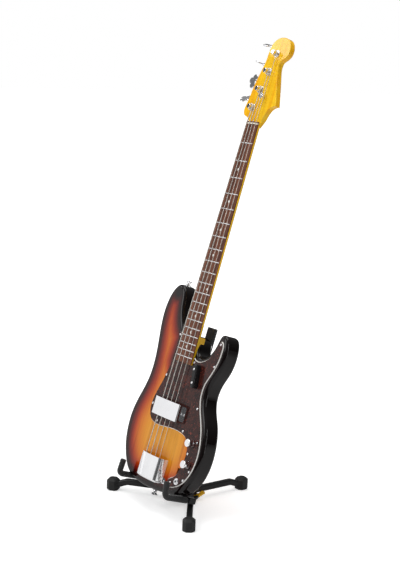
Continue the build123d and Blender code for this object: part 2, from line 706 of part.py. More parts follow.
def post_bores():
    """Clearance around the string posts, through the headstock."""
    places = zip(POST_ACROSS, POST_BELOW)
    return [post(x, s, HEAD_BACK - 1, HEAD_FACE + 1, POST_RADIUS + 0.3) for x, s in places]


# ---------------------------------------------------------------- guitar assembly
def build_guitar():
    wood = build_body()
    guard = build_guard()
    neck = build_neck()
    board = build_board()
    frets = [build_fret(number) for number in range(1, FRETS + 1)]
    dot_bores = [post(x, s, -DOT_DEPTH - 0.6, 2, DOT_RADIUS) for x, s in dot_places()]
    dots = [board & bore for bore in dot_bores]
    nut_slot = block((-40, 40), (-3.2, 0), -3.2, 5)
    strings = [build_string(index) for index in range(4)]
    nut = build_nut()
    plates = [build_tuner_plate(index) for index in range(4)]
    bushings = [build_bushing(index) for index in range(4)]
    posts = [build_post(index) for index in range(4)]
    tuner_screws = [build_tuner_screw(spot) for index in range(4) for spot in tuner_screw_spots(index)]
    tree = build_string_tree()
    neck_screws = [build_neck_screw(x, s) for x, s in neck_screw_spots()]
    neck_plate = build_neck_plate() - neck_screws
    bridge_plate = build_bridge_plate()
    saddles = [build_saddle(index) for index in range(4)]
    saddle_screws = [screw for index in range(4) for screw in build_saddle_screws(index)]
    saddles = [saddle - saddle_screws - strings[index] for index, saddle in enumerate(saddles)]
    pickup_cover = build_pickup_cover()
    bridge_cover = build_bridge_cover()
    rest = build_finger_rest()
    bridge_spots = [(-34, 889), (0, 889), (34, 889)]
    screws = [wood_screw(x, s, GUARD_TOP, 2.9) for x, s in GUARD_SCREWS]
    screws += [wood_screw(x, s, top, 2.6) for x, s, top in cover_screw_spots()]
    screws += [wood_screw(x, s, top, 2.9, 1.5, 24.0) for x, s, top in rest_screw_spots()]
    screws += [wood_screw(x, s, BRIDGE_TOP, 3.6) for x, s in bridge_spots]
    buttons = build_strap_button(place(0, BUTT, -31.5), (0, -1, 0))
    buttons += build_strap_button(place(-103.5, 425.0, -31.5), (0.0, 1, 0))
    pots = [build_pot(x, s) for x, s in KNOB_PLACES]
    jack = build_jack()
    truss_rod = rod((0, 0, ROD_Z), (0, -HEEL_END, ROD_Z), ROD_RADIUS)

    board = board - [fret_slot(number) for number in range(1, FRETS + 1)] - dot_bores - nut_slot
    nut = nut - strings
    neck = neck - bushings - tuner_screws - tree - neck_screws - post_bores()
    bridge_plate = bridge_plate - screws - saddle_screws - strings
    for cutter in (screws, buttons, neck_screws):
        wood = wood - cutter
    guard = guard - screws
    rest = rest - screws
    pickup_cover = pickup_cover - screws
    bridge_cover = bridge_cover - screws
    plates = [plate - tuner_screws for plate in plates]

    single = {
        "body_wood": wood, "pickguard": guard, "neck": neck, "fingerboard": board, "nut": nut,
        "truss_rod": truss_rod, "neck_plate": neck_plate, "bridge_plate": bridge_plate,
        "pickup_cover": pickup_cover, "bridge_cover": bridge_cover, "finger_rest": rest,
        "output_jack": jack,
    }
    groups = {
        "frets": frets, "position_dots": dots, "tuner_plates": plates, "tuner_bushings": bushings,
        "tuner_screws": tuner_screws, "string_tree": tree, "neck_screws": neck_screws,
        "bridge_saddles": saddles, "saddle_screws": saddle_screws, "face_screws": screws,
        "strap_buttons": buttons, "pickup_coils": build_coils(), "pots": pots,
    }
    for name, shape in {**single, **groups}.items():
        save(name, shape, GUITAR_FRAME)
    for index, letter in enumerate(STRING_NAMES):
        save(f"string_{letter}", strings[index], GUITAR_FRAME)
        save(f"tuner_post_{letter}", posts[index], GUITAR_FRAME)
        save(f"tuner_key_{letter}", build_key(index), GUITAR_FRAME)
    for name, spot in zip(("volume_knob", "tone_knob"), KNOB_PLACES):
        save(name, build_knob(*spot), GUITAR_FRAME)


# ---------------------------------------------------------------- stand
def leg_bar(reach, margin):
    """The leg's rounded-rectangle bar, running out along +X and bending down into the foot."""
    path = FilletPolyline(
        (0, 0, LEG_Z), (reach - LEG_BEND, 0, LEG_Z), (reach - 4, 0, LEG_END_Z), radius=24
    )
    section = Plane(origin=(0, 0, LEG_Z), x_dir=(0, 1, 0), z_dir=(1, 0, 0))
    shape = section * RectangleRounded(LEG_WIDE - 2 * margin, LEG_TALL - 2 * margin, 4.5 - margin)
    return sweep(shape, path)


def build_leg(reach):
    """Hollow leg with a solid rounded root that turns on its pin."""
    tube = leg_bar(reach, 0) - leg_bar(reach, LEG_WALL)
    root = rod((0, 0, LEG_Z - LEG_TALL / 2), (0, 0, LEG_Z + LEG_TALL / 2), LEG_WIDE / 2)
    plug = Pos(8, 0, LEG_Z) * Box(16, LEG_WIDE, LEG_TALL)
    plug = fillet(plug.edges().filter_by(Axis.X), 4.4)
    leg = tube + root + plug
    return leg - rod((0, 0, 0), (0, 0, 60), LEG_PIN_RADIUS + RUNNING)


def build_foot(reach, leg):
    """Rubber boot pushed over the end of a leg."""
    length, width, height = FOOT_SIZE
    boot = Pos(reach, 0, height / 2) * Box(length, width, height)
    boot = chamfer(boot.edges().filter_by(Axis.Z), 8)
    boot = chamfer(boot.edges().group_by(Axis.Z)[-1], 5.5)
    boot = chamfer(boot.edges().group_by(Axis.Z)[0], 2.5)
    return boot - leg_bar(reach, 0) - leg


def leg_place(side):
    """Puts a leg drawn along +X from its pivot in its own place round the hub."""
    return Pos(*LEG_PIVOTS[side], 0) * Rot(0, 0, LEG_TURNS[side])


def build_hub_base():
    """Lower hub plate, with the slot and ears of the release lever."""
    low = LEG_Z - LEG_TALL / 2 - 0.3
    plate = Pos(0, HUB_CENTRE, low - HUB_PLATE / 2) * Cylinder(HUB_RADIUS, HUB_PLATE)
    ears = [Pos(LEVER_ACROSS + x, LEVER_PIN[0], low - HUB_PLATE - 4) * Box(3, 9, 9) for x in (-7.5, 7.5)]
    slot = Pos(LEVER_ACROSS, LEVER_PIN[0] + 18, low) * Box(12.4, 36, 30)
    return (plate + ears[0] + ears[1]) - slot


def build_hub_cap():
    """Upper hub plate, with the leaning clevis for the upright and the cross tube."""
    high = LEG_Z + LEG_TALL / 2 + 0.3
    plate = Pos(0, HUB_CENTRE, high + HUB_PLATE / 2) * Cylinder(HUB_RADIUS, HUB_PLATE)
    plate = fillet(plate.edges().group_by(Axis.Z)[-1], 2)
    tongue = Pos(0, -11, high + HUB_PLATE / 2) * Box(42, 46, HUB_PLATE)
    clevis = block((-21, 21), (889, 922), COLUMN_Z - 11, COLUMN_Z + 13)
    clevis = fillet(clevis.edges().filter_by(Axis.X), 3)
    gap = COLUMN_SIZE[0] / 2 + 0.3
    clevis = clevis - block((-gap, gap), (880, 911.5), -100, -40)
    clevis = Pos(0, -HUB_Y, 0) * (LEAN_FRAME.location * clevis)
    return plate + tongue + clevis


def build_leg_pins():
    """Rivets that the legs turn on."""
    low = LEG_Z - LEG_TALL / 2 - 0.3 - HUB_PLATE
    high = LEG_Z + LEG_TALL / 2 + 0.3 + HUB_PLATE
    pin = rod((0, 0, low), (0, 0, high), LEG_PIN_RADIUS)
    top = rod((0, 0, high), (0, 0, high + 2), LEG_PIN_RADIUS + 2)
    bottom = rod((0, 0, low - 1.5), (0, 0, low), LEG_PIN_RADIUS + 1)
    top = fillet(top.edges().sort_by(Axis.Z)[-1], 1.5)
    return [leg_place(side) * (pin + top + bottom) for side in LEG_PIVOTS]


def yoke_path(start, extra):
    """Centre line of a yoke arm, from behind the butt forward and then up, on x = 0."""
    return FilletPolyline(
        (0, -YOKE_BELOW, start), (0, -YOKE_BELOW, YOKE_FRONT),
        (0, -YOKE_BELOW + YOKE_HEIGHT + extra, YOKE_FRONT), radius=YOKE_BEND
    )


def yoke_turn(side):
    """Places a yoke arm drawn on x = 0 at its socket, tilted inwards."""
    sign = -1 if side == "left" else 1
    tilt = sign * YOKE_TILTS[side]
    return at(sign * YOKE_ACROSS, YOKE_BELOW) * Rot(0, 0, tilt) * Pos(0, YOKE_BELOW, 0)


def build_yoke_arm():
    """Bent steel rod with a peened head behind its socket."""
    start = CROSSBAR_Z - 10.9
    section = Plane(origin=(0, -YOKE_BELOW, start), z_dir=(0, 0, 1))
    arm = sweep(section * Circle(YOKE_TUBE), yoke_path(start, 0))
    head = post(0, YOKE_BELOW, start - 1.8, start, YOKE_TUBE + 1.2)
    return arm + fillet(head.edges().sort_by(Axis.Z)[0], 1.0)


def build_yoke_foam(arm):
    """Foam sleeve with a closed, rounded end."""
    start = CROSSBAR_Z + 11.5
    section = Plane(origin=(0, -YOKE_BELOW, start), z_dir=(0, 0, 1))
    sleeve = sweep(section * Circle(YOKE_FOAM), yoke_path(start, 4))
    sleeve = fillet(sleeve.edges().sort_by(Axis.Y)[-1], 2.0)
    return sleeve - arm


def build_crossbar():
    """Cross tube behind the butt, with a journal block at each end."""
    half = YOKE_ACROSS - 8
    bar = rod((-half, -YOKE_BELOW, CROSSBAR_Z), (half, -YOKE_BELOW, CROSSBAR_Z), CROSSBAR_RADIUS)
    for side in (-1, 1):
        centre = side * YOKE_ACROSS
        sides = (centre - 9.5, centre + 9.5)
        low, high = CROSSBAR_Z - 10.5, CROSSBAR_Z + 10.5
        socket = block(sides, (YOKE_BELOW - 9, YOKE_BELOW + 6), low, high)
        socket = fillet(socket.edges(), 2.5)
        bar = bar + socket
    for side in (-1, 1):
        bar -= post(side * YOKE_ACROSS, YOKE_BELOW, CROSSBAR_Z - 20, CROSSBAR_Z + 20, YOKE_TUBE + RUNNING)
    return bar


def build_column():
    """Rectangular outer tube that folds back on its pin."""
    wide, deep = COLUMN_SIZE
    tube = block((-wide / 2, wide / 2), (COLUMN_TOP, 908), COLUMN_Z - deep / 2, COLUMN_Z + deep / 2)
    tube = fillet(tube.edges().filter_by(Axis.Y), 3)
    inner, room = wide / 2 - 1.5, deep / 2 - 1.5
    bore = block((-inner, inner), (COLUMN_TOP - 1, 888), COLUMN_Z - room, COLUMN_Z + room)
    pin = rod((-30, -COLUMN_PIN, COLUMN_Z), (30, -COLUMN_PIN, COLUMN_Z), 3.0 + RUNNING)
    return tube - bore - pin


def build_column_sleeve():
    """Plastic bush in the tube's mouth that grips the backrest bar."""
    wide, deep = COLUMN_SIZE
    outer, rim = wide / 2 + 1.5, deep / 2 + 1.5
    inner, room = wide / 2 - 1.5, deep / 2 - 1.5
    flange = block((-outer, outer), (COLUMN_TOP - 6, COLUMN_TOP), COLUMN_Z - rim, COLUMN_Z + rim)
    flange = fillet(flange.edges().filter_by(Axis.Y), 4)
    plug = block((-inner, inner), (COLUMN_TOP, COLUMN_TOP + 20), COLUMN_Z - room, COLUMN_Z + room)
    half = (BAR_SIZE[0] / 2 + RUNNING, BAR_SIZE[1] / 2 + RUNNING)
    slot = block((-half[0], half[0]), (COLUMN_TOP - 9, COLUMN_TOP + 22), BAR_Z - half[1], BAR_Z + half[1])
    return flange + plug - slot


def build_backrest_bar():
    wide, deep = BAR_SIZE
    bar = block((-wide / 2, wide / 2), (BAR_TOP, 785), BAR_Z - deep / 2, BAR_Z + deep / 2)
    return fillet(bar.edges().filter_by(Axis.Z), 2)


def build_backrest_pad(bar):
    """Rubber sleeve over the top of the bar, resting behind the neck plate."""
    wide, deep = PAD_SIZE
    pad = block((-wide / 2, wide / 2), (PAD_TOP, PAD_BOTTOM), PAD_Z - deep / 2, PAD_Z + deep / 2)
    pad = fillet(pad.edges().filter_by(Axis.Y), 3.2)
    pad = fillet(pad.edges().group_by(Axis.Y)[-1], 1.5)
    return pad - bar


def build_release_lever():
    """Yellow trigger beside the rear leg, turning on a pin under the hub."""
    bar = Box(11.6, 46, 5)
    bar = fillet(bar.edges().filter_by(Axis.Z), 4)
    bar = fillet(bar.edges().group_by(Axis.Z)[-1], 1.0)
    lever = Pos(LEVER_ACROSS, *LEVER_PIN) * Rot(19.5, 0, 0) * Pos(0, 18, 0) * bar
    return lever - rod((0, *LEVER_PIN), (30, *LEVER_PIN), 1.5 + RUNNING)


def build_hub_pins():
    """Upright pin and lever pin."""
    upright = rod((-24, -COLUMN_PIN, COLUMN_Z), (24, -COLUMN_PIN, COLUMN_Z), 3.0)
    heads = [rod((x, -COLUMN_PIN, COLUMN_Z), (x + 2.5, -COLUMN_PIN, COLUMN_Z), 5.5) for x in (-23.5, 21)]
    upright = LEAN_FRAME.location * (upright + heads[0] + heads[1])
    return [Pos(0, -HUB_Y, 0) * upright, rod((4, *LEVER_PIN), (24, *LEVER_PIN), 1.5)]


def build_stand():
    pins = build_leg_pins()
    hub_pins = build_hub_pins()
    arm = build_yoke_arm()
    foam = build_yoke_foam(arm)
    crossbar = build_crossbar()
    bar = build_backrest_bar()
    hub_crossbar = Pos(0, -HUB_Y, 0) * (LEAN_FRAME.location * crossbar)
    save("hub_base", build_hub_base() - pins - hub_pins, HUB)
    save("hub_cap", build_hub_cap() - pins - hub_pins - hub_crossbar, HUB)
    save("leg_pins", pins, HUB)
    save("hub_pins", hub_pins, HUB)
    for side, reach in LEG_REACH.items():
        leg = build_leg(reach)
        save(f"leg_{side}", leg_place(side) * leg, HUB)
        save(f"foot_{side}", leg_place(side) * build_foot(reach, leg), HUB)
    for side in ("left", "right"):
        save(f"yoke_arm_{side}", yoke_turn(side) * arm, LEAN_FRAME)
        save(f"yoke_foam_{side}", yoke_turn(side) * foam, LEAN_FRAME)
    save("crossbar", crossbar, LEAN_FRAME)
    save("column_tube", build_column(), LEAN_FRAME)
    save("column_sleeve", build_column_sleeve(), LEAN_FRAME)
    save("backrest_bar", bar, LEAN_FRAME)
    save("backrest_pad", build_backrest_pad(bar), LEAN_FRAME)
    save("release_lever", build_release_lever(), HUB)


def main():
    os.makedirs("parts", exist_ok=True)
    build_guitar()
    build_stand()
    for name, solids in parts.items():
        export_step(Compound(children=solids), f"parts/{name}.step")
    box = Compound(children=[solid for solids in parts.values() for solid in solids]).bounding_box()
    print(len(parts), "nodes", box.min, box.max)


main()
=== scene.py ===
"""Looks for a sunburst electric bass guitar on a small folding stand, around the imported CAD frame.

Lengths are metres in the row frame: +Z up, the guitar faces -Y and leans back. Places come from
the frame's boxes and joint axes. "Lean" coordinates are x across, y into the body, z up the neck.
"""

import json
import math

import bmesh
import bpy
from mathutils import Matrix, Vector, kdtree


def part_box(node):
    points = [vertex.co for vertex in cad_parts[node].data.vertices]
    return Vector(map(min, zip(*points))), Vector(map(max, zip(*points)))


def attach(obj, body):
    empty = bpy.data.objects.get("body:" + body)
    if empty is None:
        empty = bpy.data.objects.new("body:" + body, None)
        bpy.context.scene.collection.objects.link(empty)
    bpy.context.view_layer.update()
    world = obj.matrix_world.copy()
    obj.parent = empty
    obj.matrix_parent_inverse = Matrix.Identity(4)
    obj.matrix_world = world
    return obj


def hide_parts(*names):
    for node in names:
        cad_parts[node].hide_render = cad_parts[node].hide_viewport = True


# camera
AZIMUTH = math.radians(53.338)
ELEVATION = math.radians(10.445)
ROLL = math.radians(1.969)
DISTANCE = 2.9929
LENS = 78.1
AIM_ACROSS = 0.0288
AIM_HEIGHT = 0.5528
HUB_BACK = 0.046

# sunburst, measured inwards from the body's outline
RIM_REACH = 0.1
GRID = 0.007

# studio: brightness of the room and floor, then each soft light's place, aim, size and power
ROOM_LOW = 0.06
ROOM_HIGH = 0.4
FLOOR_GLOW = 0.5
FAR_GLOW = 1.0
FLOOR_SIZE = 60
LIGHTS = (
    ("key", (-0.6, -2.6, 2.4), (0, 0, 0.5), (2.0, 2.0), 42),
    ("side", (2.8, 0.5, 0.9), (0, 0, 0.5), (0.3, 2.2), 14),
    ("top", (0, 0.2, 3.2), (0, 0, 0.5), (2.6, 2.0), 42),
    ("card", (-2.7, -2.1, 0.95), (0, 0, 0.5), (2.8, 1.9), 14.5),
    ("glint", (-2.7, -1.5, 2.77), (0, 0.1, 1.1), (1.4, 0.7), 13),
)

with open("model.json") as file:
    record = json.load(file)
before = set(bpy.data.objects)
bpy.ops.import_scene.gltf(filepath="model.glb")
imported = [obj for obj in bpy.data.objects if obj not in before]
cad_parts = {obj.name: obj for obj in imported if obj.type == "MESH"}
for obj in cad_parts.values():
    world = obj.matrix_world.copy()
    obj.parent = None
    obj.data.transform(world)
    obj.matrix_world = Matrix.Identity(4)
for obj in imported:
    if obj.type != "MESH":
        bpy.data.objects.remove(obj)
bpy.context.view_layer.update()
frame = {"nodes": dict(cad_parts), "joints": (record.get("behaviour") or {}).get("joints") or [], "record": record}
nodes = frame["nodes"]
axes = {joint["name"]: Vector(joint["axis"]) for joint in frame["joints"]}
UP_NECK = axes["guitar_lift"].normalized()
OUT = axes["volume_turn"].normalized()
ACROSS = Vector((1, 0, 0))
LEAN = math.atan2(UP_NECK.y, UP_NECK.z)


# ---------------------------------------------------------------- material building
class Paint:
    """A node material with one Principled shader and small helpers for its textures."""

    def __init__(self, name, color, **sockets):
        self.material = bpy.data.materials.new(name)
        self.material.use_nodes = True
        self.tree = self.material.node_tree
        self.shader = self.tree.nodes["Principled BSDF"]
        self.shader.inputs["Base Color"].default_value = (*color, 1)
        for socket, value in sockets.items():
            self.shader.inputs[socket.replace("_", " ")].default_value = value
        self.place = self.node("ShaderNodeMapping")
        coords = self.node("ShaderNodeTexCoord")
        self.link(coords.outputs["Object"], self.place.inputs["Vector"])
        self.place.inputs["Rotation"].default_value = (LEAN, 0, 0)

    def node(self, kind, **values):
        made = self.tree.nodes.new(kind)
        for name, value in values.items():
            setattr(made, name, value)
        return made

    def link(self, start, end):
        self.tree.links.new(start, end)

    def stretched(self, scale):
        """Lean coordinates with each axis scaled, so that a texture runs along the neck."""
        mapping = self.node("ShaderNodeMapping")
        mapping.inputs["Scale"].default_value = scale
        self.link(self.place.outputs["Vector"], mapping.inputs["Vector"])
        return mapping.outputs["Vector"]

    def noise(self, scale, detail=4.0, roughness=0.55, distortion=0.0, stretch=(1, 1, 1)):
        made = self.node("ShaderNodeTexNoise")
        made.inputs["Scale"].default_value = scale
        made.inputs["Detail"].default_value = detail
        made.inputs["Roughness"].default_value = roughness
        made.inputs["Distortion"].default_value = distortion
        self.link(self.stretched(stretch), made.inputs["Vector"])
        return made.outputs["Fac"]

    def cells(self, scale, stretch=(1, 1, 1)):
        made = self.node("ShaderNodeTexVoronoi")
        made.inputs["Scale"].default_value = scale
        self.link(self.stretched(stretch), made.inputs["Vector"])
        return made.outputs["Distance"]

    def ramp(self, value, stops):
        made = self.node("ShaderNodeValToRGB")
        band = made.color_ramp.elements
        band[0].position, band[-1].position = stops[0][0], stops[-1][0]
        band[0].color, band[-1].color = (*stops[0][1], 1), (*stops[-1][1], 1)
        for position, color in stops[1:-1]:
            band.new(position).color = (*color, 1)
        self.link(value, made.inputs["Fac"])
        return made.outputs["Color"]

    def greys(self, value, low, high, start=0.0, end=1.0):
        """Maps a value to a plain number range."""
        made = self.node("ShaderNodeMapRange")
        made.inputs["From Min"].default_value = start
        made.inputs["From Max"].default_value = end
        made.inputs["To Min"].default_value = low
        made.inputs["To Max"].default_value = high
        self.link(value, made.inputs["Value"])
        return made.outputs["Result"]

    def blend(self, factor, first, second, mode="MIX"):
        made = self.node("ShaderNodeMix", data_type="RGBA", blend_type=mode)
        for socket, value in ((0, factor), (6, first), (7, second)):
            if isinstance(value, (int, float)):
                made.inputs[socket].default_value = value
            elif isinstance(value, tuple):
                made.inputs[socket].default_value = (*value, 1)
            else:
                self.link(value, made.inputs[socket])
        return made.outputs[2]

    def color(self, output):
        self.link(output, self.shader.inputs["Base Color"])

    def rough(self, value, low, high):
        self.link(self.greys(value, low, high), self.shader.inputs["Roughness"])

    def bump(self, height, strength, distance):
        made = self.node("ShaderNodeBump")
        made.inputs["Strength"].default_value = strength
        made.inputs["Distance"].default_value = distance
        self.link(height, made.inputs["Height"])
        self.link(made.outputs["Normal"], self.shader.inputs["Normal"])


def sunburst():
    """Three-colour burst over vertical grain, under clear gloss."""
    paint = Paint(
        "sunburst lacquer", (0.6, 0.2, 0.03), Roughness=0.3, Specular_IOR_Level=0.0,
        Coat_Weight=1.0, Coat_IOR=1.38, Coat_Roughness=0.03,
    )
    rim = paint.node("ShaderNodeAttribute", attribute_name="rim").outputs["Fac"]
    wobble = paint.noise(9, 2, stretch=(1, 1, 0.4))
    depth = paint.node("ShaderNodeMath", operation="MULTIPLY_ADD")
    paint.link(wobble, depth.inputs[0])
    depth.inputs[1].default_value = 0.08
    paint.link(rim, depth.inputs[2])
    burst = paint.ramp(depth.outputs[0], [
        (0.0, (0.003, 0.002, 0.002)), (0.13, (0.005, 0.002, 0.002)), (0.22, (0.05, 0.004, 0.003)),
        (0.32, (0.22, 0.012, 0.004)), (0.44, (0.46, 0.055, 0.005)), (0.6, (0.66, 0.17, 0.008)),
        (0.85, (0.76, 0.29, 0.014)), (1.0, (0.8, 0.34, 0.02)),
    ])
    grain = paint.noise(95, 6, 0.65, 0.5, stretch=(1.5, 1.5, 0.035))
    tint = paint.ramp(grain, [(0.36, (0.6, 0.45, 0.32)), (0.5, (1, 1, 1)), (0.7, (0.86, 0.76, 0.62))])
    paint.color(paint.blend(0.6, burst, tint, "MULTIPLY"))
    paint.bump(paint.noise(200, 2), 0.02, 0.0001)
    return paint.material


def maple():
    """Amber-tinted maple with fine grain and faint figure across it."""
    paint = Paint(
        "amber maple", (0.9, 0.5, 0.03), Roughness=0.35, Specular_IOR_Level=0.0,
        Coat_Weight=1.0, Coat_IOR=1.38, Coat_Roughness=0.05,
    )
    grain = paint.noise(60, 6, 0.6, 0.3, stretch=(2.0, 2.0, 0.04))
    base = paint.ramp(grain, [
        (0.28, (0.92, 0.4, 0.006)), (0.5, (1.0, 0.56, 0.012)), (0.72, (1.0, 0.66, 0.03)),
    ])
    figure = paint.noise(30, 3, 0.5, 0.8, stretch=(0.3, 0.3, 2.2))
    flame = paint.ramp(figure, [(0.35, (0.88, 0.82, 0.72)), (0.6, (1, 1, 1))])
    paint.color(paint.blend(0.6, base, flame, "MULTIPLY"))
    paint.bump(paint.noise(300, 2), 0.04, 0.0002)
    return paint.material


def rosewood():
    """Reddish-brown board with dark streaks and open pores."""
    paint = Paint("rosewood", (0.2, 0.08, 0.05), Roughness=0.45, Specular_IOR_Level=0.25)
    streak = paint.noise(70, 8, 0.65, 0.6, stretch=(1.6, 1.6, 0.035))
    base = paint.ramp(streak, [
        (0.3, (0.05, 0.016, 0.01)), (0.48, (0.15, 0.05, 0.028)),
        (0.6, (0.24, 0.088, 0.045)), (0.8, (0.33, 0.13, 0.07)),
    ])
    pores = paint.noise(900, 2, 0.5, 0, stretch=(1, 1, 0.06))
    dark = paint.ramp(pores, [(0.36, (0.35, 0.3, 0.28)), (0.45, (1, 1, 1))])
    paint.color(paint.blend(0.8, base, dark, "MULTIPLY"))
    paint.rough(streak, 0.32, 0.5)
    paint.bump(pores, 0.25, 0.0002)
    return paint.material


def tortoise():
    """Dark laminate with red-brown blotches, whose cut edge shows the white ply."""
    paint = Paint("tortoise laminate", (0.05, 0.01, 0.008), Roughness=0.12, Specular_IOR_Level=0.25)
    cloud = paint.noise(38, 4, 0.6, 1.2)
    base = paint.ramp(cloud, [
        (0.35, (0.016, 0.006, 0.006)), (0.55, (0.036, 0.011, 0.009)), (0.7, (0.07, 0.018, 0.013)),
    ])
    flecks = paint.ramp(paint.noise(150, 3, 0.6, 2.0), [(0.58, (0, 0, 0)), (0.68, (0.85, 0.85, 0.85))])
    blotch = paint.blend(flecks, base, (0.26, 0.05, 0.032))
    facing = paint.node("ShaderNodeVectorMath", operation="DOT_PRODUCT")
    coords = paint.node("ShaderNodeTexCoord")
    paint.link(coords.outputs["Normal"], facing.inputs[0])
    facing.inputs[1].default_value = OUT
    side = paint.greys(facing.outputs["Value"], 1, 0, 0.93, 0.97)
    paint.color(paint.blend(side, blotch, (0.85, 0.84, 0.8)))
    paint.bump(paint.noise(180, 2), 0.03, 0.0002)
    return paint.material


def chrome(name="chrome", low=0.03, high=0.1, metallic=1.0):
    """Plated metal with faint haze and hand marks."""
    paint = Paint(name, (0.86, 0.87, 0.89), Metallic=metallic, Roughness=0.05)
    haze = paint.noise(28, 4, 0.6)
    paint.rough(haze, low, high)
    paint.color(paint.ramp(haze, [(0.3, (0.84, 0.84, 0.86)), (0.7, (0.9, 0.9, 0.91))]))
    paint.bump(paint.noise(12, 1), 0.02, 0.001)
    return paint.material


def wound_string():
    """Round-wound steel: fine rings along the string, with painted shade in the grooves between the windings."""
    paint = Paint("wound string", (0.6, 0.6, 0.58), Metallic=0.6, Roughness=0.3)
    wave = paint.node("ShaderNodeTexWave", wave_type="BANDS", bands_direction="Z")
    wave.inputs["Scale"].default_value = 420
    wave.inputs["Distortion"].default_value = 0.4
    paint.link(paint.place.outputs["Vector"], wave.inputs["Vector"])
    # painted shade: the colour darkens in the low bands, the grooves between the windings
    paint.color(paint.ramp(wave.outputs["Fac"], [(0.0, (0.3, 0.28, 0.25)), (0.6, (0.86, 0.83, 0.76))]))
    paint.bump(wave.outputs["Fac"], 0.6, 0.0002)
    return paint.material


def plastic(name, dark, light, low, high, speck=240, depth=0.12):
    """Moulded or coated surface with a fine texture and uneven sheen."""
    paint = Paint(name, dark, Roughness=low, Specular_IOR_Level=0.3)
    mottle = paint.noise(30, 5, 0.6)
    paint.color(paint.ramp(mottle, [(0.3, dark), (0.7, light)]))
    paint.rough(mottle, low, high)
    paint.bump(paint.noise(speck, 3), depth, 0.0004)
    return paint.material


def foam():
    """Closed-cell foam: dark, matte and finely pitted, with painted shade in the pits."""
    paint = Paint("foam", (0.012, 0.012, 0.013), Roughness=0.9, Sheen_Weight=0.25, Sheen_Roughness=0.5)
    cells = paint.cells(520)
    # painted shade: the colour is darkest at the cell centres, the low pits of the bump
    paint.color(paint.ramp(cells, [(0.0, (0.006, 0.006, 0.006)), (0.6, (0.02, 0.02, 0.021))]))
    paint.bump(cells, 0.45, 0.0006)
    return paint.material


def pearl():
    """White inlay with a slow cloudy sheen."""
    paint = Paint("inlay", (0.9, 0.9, 0.86), Roughness=0.25, Coat_Weight=0.5)
    cloud = paint.noise(160, 4, 0.6, 1.2)
    paint.color(paint.ramp(cloud, [(0.35, (0.72, 0.72, 0.68)), (0.65, (0.95, 0.94, 0.9))]))
    return paint.material


def paint_nodes():
    """One material for each CAD node, by its slot in the record."""
    metal = chrome()
    looks = {
        "sunburst": sunburst(),
        "maple": maple(),
        "rosewood": rosewood(),
        "tortoise": tortoise(),
        "chrome": metal,
        "nickel": chrome("nickel silver", 0.16, 0.3, 0.6),
        "string_steel": wound_string(),
        "pearl": pearl(),
        "bone": plastic("nut blank", (0.72, 0.66, 0.52), (0.85, 0.8, 0.68), 0.25, 0.4, 300, 0.05),
        "black_plastic": plastic(
            "black plastic", (0.006, 0.006, 0.007), (0.014, 0.014, 0.015), 0.18, 0.3, 400, 0.06
        ),
        "stand_paint": plastic(
            "powder coat", (0.006, 0.006, 0.0065), (0.012, 0.012, 0.0125), 0.28, 0.42, 700, 0.2
        ),
        "foam": foam(),
        "rubber": plastic("rubber", (0.012, 0.012, 0.012), (0.024, 0.024, 0.024), 0.45, 0.62, 350, 0.3),
        "yellow_plastic": plastic(
            "yellow plastic", (0.72, 0.38, 0.005), (0.85, 0.48, 0.01), 0.35, 0.5, 300, 0.15
        ),
    }
    for part in frame["record"]["subparts"]:
        node = nodes[part["node"]]
        node.data.materials.clear()
        node.data.materials.append(looks[part["material_slot"]])
    return looks


# ---------------------------------------------------------------- pieces made from the frame
def copy_of(node, name):
    """A new object with its own copy of a CAD node's mesh."""
    mesh = nodes[node].data.copy()
    piece = bpy.data.objects.new(name, mesh)
    bpy.context.scene.collection.objects.link(piece)
    return piece


def applied(piece):
    """Makes a piece's modifiers part of its mesh."""
    bpy.context.view_layer.update()
    graph = bpy.context.evaluated_depsgraph_get()
    made = bpy.data.meshes.new_from_object(piece.evaluated_get(graph))
    piece.modifiers.clear()
    piece.data = made


def body_piece(look):
    """The body, cut into a fine grid so that the burst can follow its outline."""
    piece = copy_of("body_wood", "body_lacquered")
    low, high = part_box("body_wood")
    work = bmesh.new()
    work.from_mesh(piece.data)
    bmesh.ops.remove_doubles(work, verts=work.verts, dist=1e-6)
    corners = [Vector((x, y, z)) for x in (low.x, high.x) for y in (low.y, high.y) for z in (low.z, high.z)]
    for axis in (ACROSS, UP_NECK):
        reach = [corner.dot(axis) for corner in corners]
        steps = int((max(reach) - min(reach)) / GRID)
        for step in range(1, steps):
            point = axis * (min(reach) + step * GRID)
            geometry = work.verts[:] + work.edges[:] + work.faces[:]
            bmesh.ops.bisect_plane(work, geom=geometry, plane_co=point, plane_no=axis, dist=1e-7)
    work.verts.index_update()
    wall = sorted(outer_wall(work))
    work.to_mesh(piece.data)
    work.free()
    set_rim(piece.data, wall)
    piece.data.shade_smooth()
    smooth = piece.modifiers.new("edges", "EDGE_SPLIT")
    smooth.split_angle = math.radians(35)
    piece.data.materials.clear()
    piece.data.materials.append(look)
    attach(piece, "guitar")
    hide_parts("body_wood")


def outer_wall(work):
    """Indices of the points on the body's outer side wall, spread from its lowest face."""
    upright = [face for face in work.faces if abs(face.normal.dot(OUT)) < 0.1]
    found = {min(upright, key=lambda face: face.calc_center_median().dot(UP_NECK))}
    allowed = set(upright)
    edge_of_search = list(found)
    while edge_of_search:
        face = edge_of_search.pop()
        for edge in face.edges:
            for neighbour in edge.link_faces:
                if neighbour in allowed and neighbour not in found:
                    found.add(neighbour)
                    edge_of_search.append(neighbour)
    return {vertex.index for face in found for vertex in face.verts}


def set_rim(mesh, wall):
    """Stores each point's distance from the outer wall, 0 at the wall and 1 well inside."""
    flat = [Vector((vertex.co.x, vertex.co.dot(UP_NECK), 0)) for vertex in mesh.vertices]
    tree = kdtree.KDTree(len(wall))
    for index in wall:
        tree.insert(flat[index], index)
    tree.balance()
    rim = mesh.attributes.new("rim", "FLOAT", "POINT")
    for index, place in enumerate(flat):
        rim.data[index].value = min(1.0, tree.find(place)[2] / RIM_REACH)


